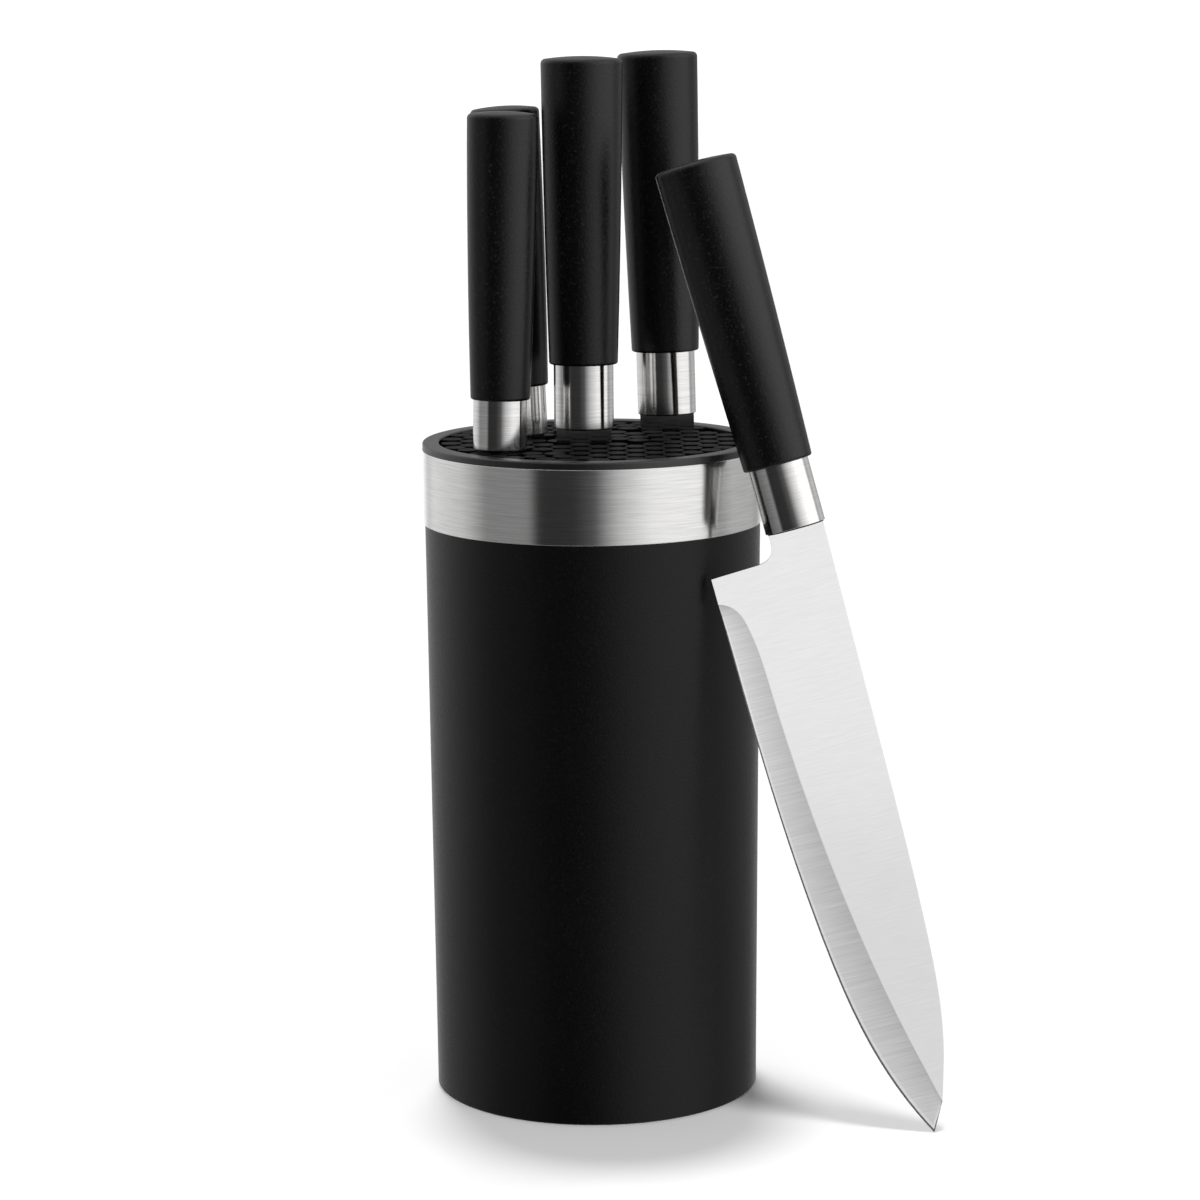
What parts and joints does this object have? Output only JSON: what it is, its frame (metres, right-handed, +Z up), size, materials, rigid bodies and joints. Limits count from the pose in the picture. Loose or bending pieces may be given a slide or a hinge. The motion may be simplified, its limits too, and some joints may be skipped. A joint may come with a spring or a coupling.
{
  "type": "knife block",
  "caption": "Round countertop knife block with a steel trim band and a flexible rod insert, holding kitchen knives with tapered grips, and a chef's knife leaning on its front.",
  "frame": {"origin": "centre of the block's flat underside, on the surface it stands on", "axes": "+Z up the block, -Y the front, towards which the knives' flat sides face, +X to the right of the front"},
  "size_m": [0.168, 0.1186, 0.3447],
  "materials": {
    "shell_plastic": "soft-touch matte, very fine grain",
    "brushed_band": "brushed around the block",
    "ring_plastic": "satin",
    "pad_rubber": "matte",
    "insert_plastic": "satin, flexible",
    "blade_steel": "fine satin, flank ground across the edge",
    "ferrule_steel": "brushed around the ferrule",
    "plug_plastic": "matte",
    "handle_soft_touch": "soft-touch matte, fine grain"
  },
  "bodies": {
    "block": {"outer_shell": "shell_plastic", "trim_band": "brushed_band", "top_ring": "ring_plastic", "base_pad": "pad_rubber", "rod_plate": "insert_plastic", "flex_rods": "insert_plastic"},
    "carving_knife": {"carving_blade": "blade_steel", "carving_ferrule": "ferrule_steel", "carving_ferrule_plug": "plug_plastic", "carving_handle": "handle_soft_touch"},
    "bread_knife": {"bread_blade": "blade_steel", "bread_ferrule": "ferrule_steel", "bread_ferrule_plug": "plug_plastic", "bread_handle": "handle_soft_touch"},
    "utility_knife": {"utility_blade": "blade_steel", "utility_ferrule": "ferrule_steel", "utility_ferrule_plug": "plug_plastic", "utility_handle": "handle_soft_touch"},
    "paring_knife": {"paring_blade": "blade_steel", "paring_ferrule": "ferrule_steel", "paring_ferrule_plug": "plug_plastic", "paring_handle": "handle_soft_touch"},
    "chef_knife": {"chef_blade": "blade_steel", "chef_ferrule": "ferrule_steel", "chef_ferrule_plug": "plug_plastic", "chef_handle": "handle_soft_touch"}
  },
  "joints": [
    {"name": "carving_knife_lift", "type": "slide", "parent": "block", "child": "carving_knife", "axis": [0.0017, 0, 1], "range_m": [0, 0.212]},
    {"name": "bread_knife_lift", "type": "slide", "parent": "block", "child": "bread_knife", "axis": [-0.0227, 0, 0.9997], "range_m": [0, 0.212]},
    {"name": "utility_knife_lift", "type": "slide", "parent": "block", "child": "utility_knife", "axis": [0.0201, 0, 0.9998], "range_m": [0, 0.136]},
    {"name": "paring_knife_lift", "type": "slide", "parent": "block", "child": "paring_knife", "axis": [-0.0419, 0, 0.9991], "range_m": [0, 0.1]},
    {"name": "chef_knife_lift", "type": "slide", "parent": "block", "child": "chef_knife", "axis": [0, 0, 1], "range_m": [0, 0.2]}
  ]
}
